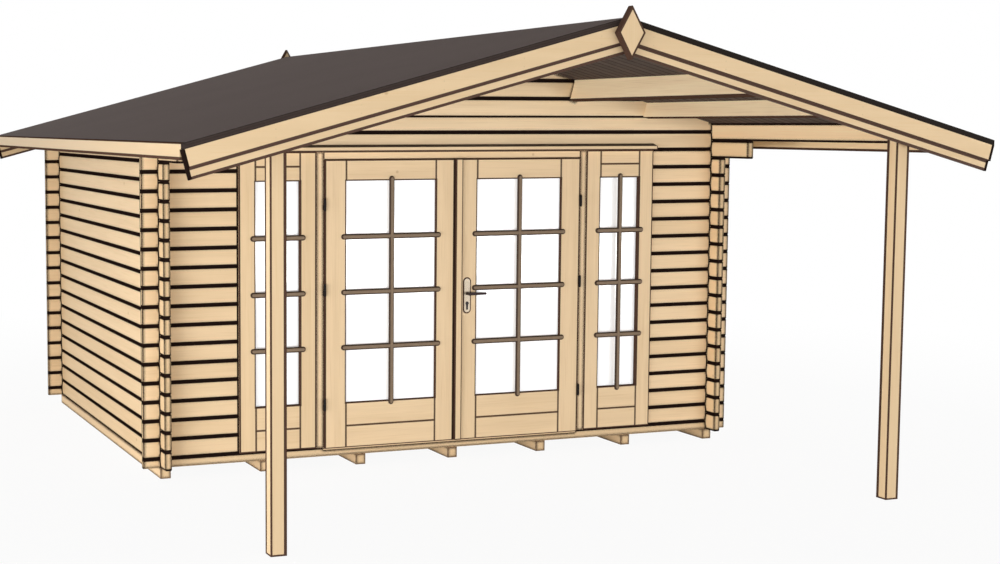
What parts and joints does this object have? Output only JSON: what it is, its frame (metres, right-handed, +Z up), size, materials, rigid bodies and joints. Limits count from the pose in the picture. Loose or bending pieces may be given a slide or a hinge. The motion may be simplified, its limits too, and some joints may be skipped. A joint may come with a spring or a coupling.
{
  "type": "wooden holiday cabin",
  "caption": "Log cabin with interlocking corners, symmetric gable roof carried forward as a canopy on posts, glazed double doors that open and fixed side windows.",
  "frame": {"origin": "on the ground, at the centre of the cabin's whole footprint, roof included", "axes": "+Z up, +Y from the canopy towards the back wall, +X to the right as seen from the front"},
  "size_m": [4.976, 5.672, 2.8721],
  "materials": {
    "log_wood": "planed softwood, matte",
    "sawn_wood": "planed softwood, matte",
    "trim_wood": "planed softwood, matte",
    "roof_wood": "tongue-and-groove boards, matte",
    "roof_felt": "dark brown mineral roofing, rough",
    "glass": "clear",
    "dark_metal": "dark, satin",
    "handle_metal": "dark anodised, satin"
  },
  "bodies": {
    "cabin": {"floor_joists": "sawn_wood", "floor_deck": "sawn_wood", "front_sill": "log_wood", "front_wall_left": "log_wood", "front_wall_right": "log_wood", "front_gable": "log_wood", "back_wall": "log_wood", "back_gable": "log_wood", "left_wall": "log_wood", "right_wall": "log_wood", "left_wall_plate": "log_wood", "right_wall_plate": "log_wood", "ridge_purlin": "sawn_wood", "side_purlins": "sawn_wood", "roof_boards_left": "roof_wood", "roof_boards_right": "roof_wood", "roof_cover_left": "roof_felt", "roof_cover_right": "roof_felt", "eave_board_left": "trim_wood", "eave_board_right": "trim_wood", "barge_boards_front": "trim_wood", "cap_boards_front": "trim_wood", "barge_boards_rear": "trim_wood", "cap_boards_rear": "trim_wood", "ridge_diamond_front": "trim_wood", "ridge_diamond_rear": "trim_wood", "post_left": "sawn_wood", "post_right": "sawn_wood", "window_frame_left": "trim_wood", "window_frame_right": "trim_wood", "window_panes": "glass", "door_jambs": "trim_wood", "door_head": "trim_wood", "threshold": "trim_wood", "drip_board": "trim_wood", "frame_hinges": "dark_metal"},
    "left_door": {"left_leaf": "trim_wood", "left_leaf_pane": "glass", "left_leaf_hinges": "dark_metal"},
    "right_door": {"right_leaf": "trim_wood", "right_leaf_pane": "glass", "right_leaf_hinges": "dark_metal", "cover_strip": "trim_wood", "handle_plates": "handle_metal"},
    "door_handle": {"lever": "handle_metal"}
  },
  "joints": [
    {"name": "left_door_hinge", "type": "hinge", "parent": "cabin", "child": "left_door", "pos_m": [-0.9325, -0.637, 1.1685], "axis": [0, 0, -1], "range_deg": [0, 110]},
    {"name": "right_door_hinge", "type": "hinge", "parent": "cabin", "child": "right_door", "pos_m": [0.9325, -0.637, 1.1685], "axis": [0, 0, 1], "range_deg": [0, 110]},
    {"name": "handle_turn", "type": "hinge", "parent": "right_door", "child": "door_handle", "pos_m": [0.0845, -0.6, 1.113], "axis": [0, 1, 0], "range_deg": [0, 45], "stiffness_Nm_per_rad": 1, "springref_deg": -34.38}
  ]
}
